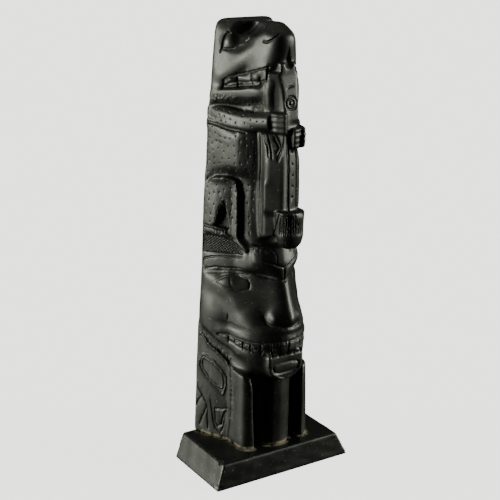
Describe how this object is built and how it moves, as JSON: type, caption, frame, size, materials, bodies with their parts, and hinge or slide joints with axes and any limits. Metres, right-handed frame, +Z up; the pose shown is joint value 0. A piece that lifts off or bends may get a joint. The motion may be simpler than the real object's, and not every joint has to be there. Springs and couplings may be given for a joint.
{
  "type": "model totem pole",
  "caption": "Black stone model totem pole: a bear holding a salmon above a whale-like face with flippers, on a bevelled plinth.",
  "frame": {"origin": "middle of the plinth's underside, on the surface that it stands on", "axes": "+Z up the pole, -Y to the front that the figures face, +X to the figures' left"},
  "size_m": [0.07, 0.0444, 0.1978],
  "materials": {
    "pole_stone": "black cast or carved stone, waxed to a satin gloss, dusty in the recesses",
    "plinth_stone": "black stone, rubbed satin, pale residue where the pole is bonded on"
  },
  "bodies": {
    "root": {"pole": "pole_stone", "plinth": "plinth_stone"}
  },
  "joints": []
}
